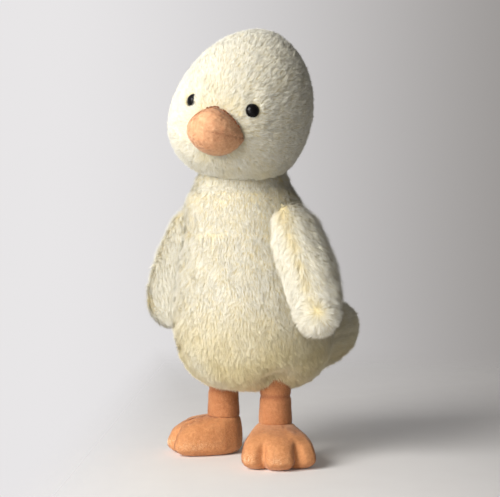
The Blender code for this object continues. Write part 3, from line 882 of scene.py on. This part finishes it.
def make_wing(side, seed):
    panels = [f"wing_{side}_outer_panel", f"wing_{side}_inner_panel"]
    skin = melt(f"wing_{side}_cover", panels + [f"wing_{side}_stuffing"], backing, voxel=0.0014, rounds=30)
    owner = press_seams(skin, [[panel] for panel in panels], width=0.002, depth=0.0004)
    sink(skin, 0.0013)
    level = read(skin.data)[:, 2]
    burst = level.min() + BURST_UP
    sink(skin, TOP_SINK * clamp((level - level.max() + TOP_START) / TOP_OVER))
    points = read(skin.data)
    mirror = 1.0 if side == "left" else -1.0

    def across(spots):
        """How far a spot lies behind the parting, which runs down the outer side."""
        parting = PARTING_AT - PARTING_LEAN * (spots[:, 2] - burst)
        return spots[:, 0] * mirror * ACROSS[0] + spots[:, 1] * ACROSS[1] - parting

    outside = read(skin.data, "normals")[:, 0] * mirror > 0.3
    from_burst = np.hypot(across(points), points[:, 2] - burst)
    crown = points[np.where(outside, from_burst, 1.0).argmin()]

    def parted(spots, normals):
        """Down and away from the parting, and outwards from the crown near the tip."""
        aside = np.tanh(across(spots) / PARTING_WIDTH)[:, None] * 0.75
        ways = aside * [ACROSS[0] * mirror, ACROSS[1], 0.0] + [0.0, 0.0, -1.0]
        reach = np.linalg.norm(spots - crown, axis=1)
        share = clamp((BURST_REACH - reach) / BURST_OVER + (spots[:, 2] < burst))[:, None]
        return ways * (1 - share) + unit(spots - crown) * share * 1.2

    def seam_dye(spots):
        """Yellow roots show in the parting above the burst, and in the burst itself."""
        near = bell(across(spots) / 0.0026) * (0.7 + 0.5 * soft_noise(spots, 0.006, 9))
        near *= clamp((spots[:, 2] - burst + 0.004) / 0.01) * PARTING_DYE[side]
        return near + bell(np.linalg.norm(spots - crown, axis=1) / 0.004) * 0.6

    common = {"brush": parted, "rides": f"wing_{side}", "slot": "cream_plush"}
    grow(pile_name(panels[0]), skin, owner == 0, length=0.0070, count=5.0e6, seed=seed, slant=22,
         stray=8, pull=0.45, tone_share=seam_dye, **common)
    grow(pile_name(panels[1]), skin, owner == 1, length=0.0045, count=3.6e6, seed=seed + 1, slant=18,
         stray=8, pull=0.45, **common)
    close = np.linalg.norm(points - crown, axis=1) < BURST_SPOT
    grow(f"wing_{side}_burst", skin, close, length=0.0100, count=7.0e6, seed=seed + 2, width=0.00030,
         slant=14, stray=4, spacing=0.0016, pull=0.5, fuzz=0.0, **common)
    settle(skin, f"wing_{side}", panels)


make_wing("left", 500)
make_wing("right", 520)

# %% [markdown]
# ## The beak
# Two small velour panels meet in the line of the mouth, a shallow groove. The line is
# painted darker as its shade, most on the duck's left, which lies in shade, with a broad
# painted shade beside it there. The painted shade is kept in the mesh and darkens the
# cloth and the short fibres alike.

# %% Beak
BEAK_PANELS = ["beak_upper_panel", "beak_lower_panel"]
NAP = {"length": 0.0010, "width": 0.00018, "slant": 50, "stray": 50, "slot": "peach_velour"}
beak = melt("beak_cover", BEAK_PANELS + ["beak_stuffing"], beak_velour, voxel=0.0008, rounds=14)
press_seams(beak, [[panel] for panel in BEAK_PANELS], width=0.0008, depth=0.0003)
everywhere = np.ones(len(beak.data.vertices), dtype=bool)
forwards = unit((beak_spot - pivot)[None] * [1.0, 1.0, 0.0])[0]
own_left = np.array([-forwards[1], forwards[0], 0.0])
offset = read(beak.data) - beak_spot
# Painted shade of the mouth: stronger towards the duck's left, and broad beside the line there.
to_left = clamp((offset @ own_left + 0.006) / 0.016)
mouth = recall(beak.data, "seam") * np.maximum(to_left, 0.08)
keep(beak.data, "seam", np.maximum(mouth, recall(beak.data, "beside") * to_left**2 * 0.55))


def out_of_face(points, normals):
    return points - beak_spot


# The nap takes the same painted shade along the mouth.
grow("beak_pile", beak, everywhere, out_of_face, count=1.2e7, rides="head", seed=600,
     spacing=0.0009, relief=0.00010, curl=0.0022, lined=0.7, material=beak_nap, **NAP)

# %% [markdown]
# The thread that sews the upper edge of the beak to the face shows as short dark
# stitches, which lie in the crease between velour and pile. Each one is a short curve
# with a round bevel, turned into a mesh.

# %% Stitches
STITCHES, FIRST_TURN, NEXT_TURN, STITCH_TURN = 11, 12, 8.4, 5
THREAD = 0.00050
OUT_OF_BEAK, OFF_THE_FACE = 0.0006, 0.0010


def sew(name, spots, thickness, material):
    """Short stitches: one for each pair of spots, raised a little in the middle."""
    thread = bpy.data.curves.new(name, "CURVE")
    thread.dimensions = "3D"
    thread.bevel_depth = thickness
    thread.bevel_resolution = 2
    thread.use_fill_caps = True
    for start, end, out in spots:
        spline = thread.splines.new("POLY")
        spline.points.add(4)
        for point, share in zip(spline.points, np.linspace(0.0, 1.0, 5)):
            place = start + (end - start) * share + out * sin(pi * share) * thickness * 1.6
            point.co = (*place, 1.0)
    loose = put(name, thread)
    mesh = worked_out(loose)
    bpy.data.objects.remove(loose)
    coat(mesh, material)
    mesh.shade_smooth()
    return put(name, mesh)


def make_thread():
    finish = Finish("brown_thread", roughness=0.7)
    twist = finish.noise(2500.0, 2.0)
    finish.feed(base_color=finish.mix(twist, colour(112, 62, 34), colour(160, 98, 60)))
    return finish.material


def on_the_rim(turn):
    """The spot just outside the beak's edge, at an angle round its middle."""
    near = np.abs(angles - turn) < radians(STITCH_TURN)
    rim = read(beak.data)[near][reaches[near].argmax()]
    return rim + toward(beak_spot, rim) * OUT_OF_BEAK + forwards * OFF_THE_FACE


angles = np.arctan2(offset[:, 2], offset @ own_left)
reaches = np.hypot(offset[:, 2], offset @ own_left)
stitches = []
for index in range(STITCHES):
    begin = FIRST_TURN + index * NEXT_TURN
    ends = [on_the_rim(radians(turn)) for turn in (begin, begin + STITCH_TURN)]
    stitches.append((*ends, forwards))
thread = sew("beak_stitches", stitches, THREAD, make_thread())
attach(thread, "head")
settle(beak, "head", BEAK_PANELS)
print("stitches:", len(stitches))

# %% [markdown]
# ## The eyes
# Each eye is a glossy dome with a rounded rim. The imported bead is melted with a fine
# voxel, which rounds its edges, and set a little deeper, so that the pile closes round it.

# %% Eyes
SET_IN = {"left": 0.0012, "right": 0.0024}


def make_eye(side):
    skin = melt(f"eye_{side}_dome", [f"eye_{side}"], bead, voxel=0.0004, rounds=6)
    centre = (middle("head_left_panel") + middle("head_right_panel")) / 2
    write(skin.data, read(skin.data) - toward(centre, middle(f"eye_{side}")) * SET_IN[side])
    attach(skin, "head")
    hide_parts(f"eye_{side}")


make_eye("left")
make_eye("right")
print("eyes set in by", SET_IN)

# %% [markdown]
# ## Legs and feet
# The legs are velour tubes that run up under the pile, with a crease below their top.
# The feet have three round toes, with a fold between each two that is shallow on top and
# deep at the front, and the seam between the upper and the sole stands out as a pale
# fuzzy line. The folds are worked out from each point's angle round the ankle.

# %% Nap and toes
SPLAY, CLEFT = radians(48.0), radians(19.0)
SEAM_LEVEL, SEAM_HEIGHT = 0.0080, 0.0034
FOLD_START, FOLD_OVER, FOLD_WIDTH, FOLD_DEPTH = 0.025, 0.012, 0.0030, 0.0034
TOP_FROM, TOP_HEIGHT, WEB_START, WEB_OVER, WEB_WIDTH = 0.011, 0.006, 0.014, 0.016, 0.0034
WEB_FILL = 0.0013
ROUND_BELOW, ROUND_SHARE, HEART_AHEAD = 0.0075, 0.15, 0.012


def nap_on(skin, side, brush, count, pale, material):
    """Grow the short nap, paler where it stands out of the seam."""
    line_y = read(skin.data)[:, 1].mean()

    def beside_seam(spots):
        ahead = clamp(-(spots[:, 1] - line_y) / 0.02)
        return pale * ahead * bell((spots[:, 2] - SEAM_LEVEL) / SEAM_HEIGHT)

    not_under = read(skin.data, "normals")[:, 2] > -0.8
    grow(skin.name.replace("cover", "nap"), skin, not_under, brush, count=count, rides=f"leg_{side}",
         seed=700, spacing=0.0010, curl=0.0024, lined=0.6, tone_share=beside_seam, material=material, **NAP)


def round_toes(points, hub, mirror):
    """Fold the clefts between the toes, fill them on top, and round the foot off below."""
    ahead = np.array([mirror * sin(SPLAY), -cos(SPLAY)])
    out = points[:, :2] - hub
    reach = np.hypot(*out.T)
    outward = out / reach.clip(1e-6)[:, None]
    angle = np.arctan2(out[:, 0] * -ahead[1] + out[:, 1] * ahead[0], out @ ahead)
    for cleft in (-CLEFT, CLEFT):
        aside = reach * np.sin(angle - cleft)
        in_front = np.cos(angle - cleft) > 0
        fold = bell(aside / FOLD_WIDTH) * in_front * clamp((reach - FOLD_START) / FOLD_OVER)
        points[:, :2] -= outward * (fold * FOLD_DEPTH)[:, None]
        web = clamp((points[:, 2] - TOP_FROM) / TOP_HEIGHT) * in_front
        web *= bell(aside / WEB_WIDTH) * clamp((reach - WEB_START) / WEB_OVER)
        points[:, :2] += outward * (web * WEB_FILL)[:, None]
        points[:, 2] += web * WEB_FILL
    under = clamp((ROUND_BELOW - points[:, 2]) / ROUND_BELOW) ** 2
    heart = hub + ahead * HEART_AHEAD
    points[:, :2] += (heart - points[:, :2]) * (under * ROUND_SHARE)[:, None]
    points[:, 2] = np.maximum(points[:, 2], 0.0)
    return points


print("toes splay by", round(SPLAY, 3), "with folds at", round(CLEFT, 3))

# %% [markdown]
# A leg's top is drawn up into the dent of the cover, because the velour is seen there
# under the edge of the pile, and its lower end is pushed a little into the foot.

# %% Legs and feet
KNEE, KNEE_OVER, KNEE_LIFT = 0.038, 0.010, 0.0150
ANKLE, ANKLE_OVER, ANKLE_SINK = 0.033, 0.004, 0.0014
CREASE_LEVEL, CREASE_HEIGHT, CREASE_PULL = 0.0465, 0.0014, 0.07
HUB_HEIGHT = 0.005


def make_leg(side):
    """The tube of a leg. It returns the middle of the ankle, seen from above."""
    tube = f"leg_{side}_tube"
    leg = melt(f"leg_{side}_cover", [tube, f"leg_{side}_stuffing"], leg_velour_painted_shade, voxel=0.0010, rounds=24)
    points = read(leg.data)
    hub = points[points[:, 2] < points[:, 2].min() + HUB_HEIGHT, :2].mean(axis=0)
    points[:, 2] += clamp((points[:, 2] - KNEE) / KNEE_OVER) * KNEE_LIFT
    points[:, 2] -= clamp((ANKLE - points[:, 2]) / ANKLE_OVER) * ANKLE_SINK
    crease = bell((points[:, 2] - CREASE_LEVEL) / CREASE_HEIGHT)
    points[:, :2] += (hub - points[:, :2]) * (crease * CREASE_PULL)[:, None]
    write(leg.data, points)
    # The crease is kept as a seam, so the velour and its nap are painted darker there, as the crease's
    # shade.
    keep(leg.data, "seam", crease)
    nap_on(leg, side, downwards, count=5.0e6, pale=0.0, material=leg_nap_painted_shade)
    settle(leg, f"leg_{side}", [tube])
    return hub


def make_foot(side, hub):
    upper, sole = f"foot_{side}_upper", f"foot_{side}_sole"
    parts = [upper, sole, f"foot_{side}_pellets"]
    foot = melt(f"foot_{side}_cover", parts, velour, voxel=0.0010, rounds=40)
    press_seams(foot, [[upper], [sole]], width=0.0012, depth=0.0003)
    keep(foot.data, "seam", np.zeros(len(foot.data.vertices)))
    points = round_toes(read(foot.data), hub, 1 if side == "left" else -1)
    write(foot.data, points)
    centre = points.mean(axis=0)
    nap_on(foot, side, lambda spots, normals: spots - centre, count=7.0e6, pale=1.0, material=nap)
    settle(foot, f"leg_{side}", [upper, sole])


for side in ("left", "right"):
    make_foot(side, make_leg(side))

# %% [markdown]
# ## The table and the light
# The duck stands on a wide pale table that fades into the background, so there is no
# horizon. The fade is a mix with a clear shader: it grows with the distance from the
# duck and towards both sides, so that the floor keeps its shadow only near the feet. To
# the right it lets the background's painted shade through, so the floor is painted darker
# there.

# %% Table
RIGHT = (cos(radians(43.0)), sin(radians(43.0)), 0.0)
TABLE_RADIUS = 1.2
FADE_START, FADE_END = 0.15, 0.85
SIDES_FROM, LEFT_END, RIGHT_END, RIGHT_SHARE = -0.05, -0.17, 0.45, 0.75


def make_table():
    finish = Finish("pale_table", roughness=0.9)
    grain = finish.noise(30.0, 3.0)
    finish.feed(base_color=finish.mix(grain, colour(243, 240, 239), colour(248, 246, 245)))
    away = finish.vector("LENGTH", {0: finish.place()})
    aside = finish.vector("DOT_PRODUCT", {0: finish.place(), 1: RIGHT})
    far = finish.ramp(away, FADE_START, FADE_END)
    # Towards the right the table shows the background's painted shade.
    fade = finish.math("MAXIMUM", far, finish.ramp(aside, SIDES_FROM, RIGHT_END) * RIGHT_SHARE)
    fade = finish.math("MAXIMUM", fade, finish.ramp(aside, SIDES_FROM, LEFT_END))
    clear = finish.node("ShaderNodeBsdfTransparent")
    solid = Signal(finish, finish.shader.outputs[0])
    shown = finish.node("ShaderNodeMixShader", {}, {0: fade, 1: solid, 2: clear})
    finish.plug(finish.tree.nodes["Material Output"].inputs["Surface"], shown)
    return finish.material


sheet = bmesh.new()
bmesh.ops.create_circle(sheet, cap_ends=True, segments=64, radius=TABLE_RADIUS)
table_mesh = bpy.data.meshes.new("table")
sheet.to_mesh(table_mesh)
sheet.free()
table_mesh.materials.append(make_table())
table = put("table", table_mesh)
print("table radius:", TABLE_RADIUS)

# %% [markdown]
# The world is two lights in one. A weak warm one lights the duck from all sides. What
# the camera sees, and what glossy or clear surfaces mirror, is another one, pale on the
# left and painted darker to the right, as painted shade where the light falls off. Matt
# cloth takes next to no light from that one.

# %% World
WEAK_LIGHT, WEAK = (1.0, 0.98, 0.95, 1.0), 0.125
PALE_UNTIL, DARK_FROM = -0.20, 0.30
world = bpy.data.worlds.new("pale_room")
bpy.context.scene.world = world
world.use_nodes = True
room = Tree(world.node_tree)
lit = room.tree.nodes["Background"]
room.plug(lit.inputs["Color"], WEAK_LIGHT)
room.plug(lit.inputs["Strength"], WEAK)
view = room.node("ShaderNodeTexCoord", output="Generated")
# The background is painted shade: pale on the left and darker to the right.
to_right = room.ramp(room.vector("DOT_PRODUCT", {0: view, 1: RIGHT}), PALE_UNTIL, DARK_FROM)
backdrop_painted_shade = room.mix(to_right, colour(232, 230, 231), colour(143, 139, 136))
seen = room.node("ShaderNodeBackground", {}, {"Color": backdrop_painted_shade})
shows = room.node("ShaderNodeLightPath", output="Is Camera Ray")
for kind in ("Is Glossy Ray", "Is Transmission Ray"):
    shows = room.math("MAXIMUM", shows, room.node("ShaderNodeLightPath", output=kind))
values = {0: shows, 1: Signal(room, lit.outputs[0]), 2: seen}
choice = room.node("ShaderNodeMixShader", {}, values)
room.plug(room.tree.nodes["World Output"].inputs["Surface"], choice)
print("world strength:", lit.inputs["Strength"].default_value)

# %% [markdown]
# Three round lamps do the rest: a large one in front like a window, a low weak one
# beside it like a white card that lifts the shadows, and one behind for the edges.

# %% Lamps
AIM = Vector((0.0, 0.0, 0.15))
DAYLIGHT, COOLER = (1.0, 0.985, 0.955), (1.0, 0.99, 0.97)


def make_lamp(name, place, size, power, tint):
    light = bpy.data.lights.new(name, "AREA")
    light.shape = "DISK"
    light.size = size
    light.energy = power
    light.color = tint
    lamp = put(name, light)
    lamp.location = place
    lamp.rotation_euler = (AIM - lamp.location).to_track_quat("-Z", "Y").to_euler()


make_lamp("window", (-0.06, -1.35, 0.76), size=0.95, power=29.5, tint=DAYLIGHT)
make_lamp("card", (0.20, -1.00, 0.02), size=0.90, power=4.0, tint=DAYLIGHT)
make_lamp("wall", (-0.95, 1.15, 0.90), size=1.30, power=2.2, tint=COOLER)
print("lamps:", len(bpy.data.lights))

# %% [markdown]
# ## The camera
# It looks at the duck's breast from its left front, a little above the table.

# %% Camera
AROUND, AWAY, HEIGHT = radians(43.40), 0.8563, 0.1613
PAN, DIP = radians(0.74), radians(-0.77)
FOCAL_LENGTH, SENSOR = 84.49, 36.0
lens = bpy.data.cameras.new("camera")
lens.lens = FOCAL_LENGTH
lens.sensor_width = SENSOR
camera = put("camera", lens)
camera.location = (AWAY * sin(AROUND), -AWAY * cos(AROUND), HEIGHT)
camera.rotation_euler = (pi / 2 + DIP, 0.0, AROUND + PAN)
bpy.context.scene.camera = camera
bpy.context.scene.view_settings.view_transform = "Standard"
print("camera at", [round(c, 3) for c in camera.location])

# %% [markdown]
# ## The end
# The dressed duck may stand proud of its parts by the depth of its pile and no more.

# %% Finish
import json
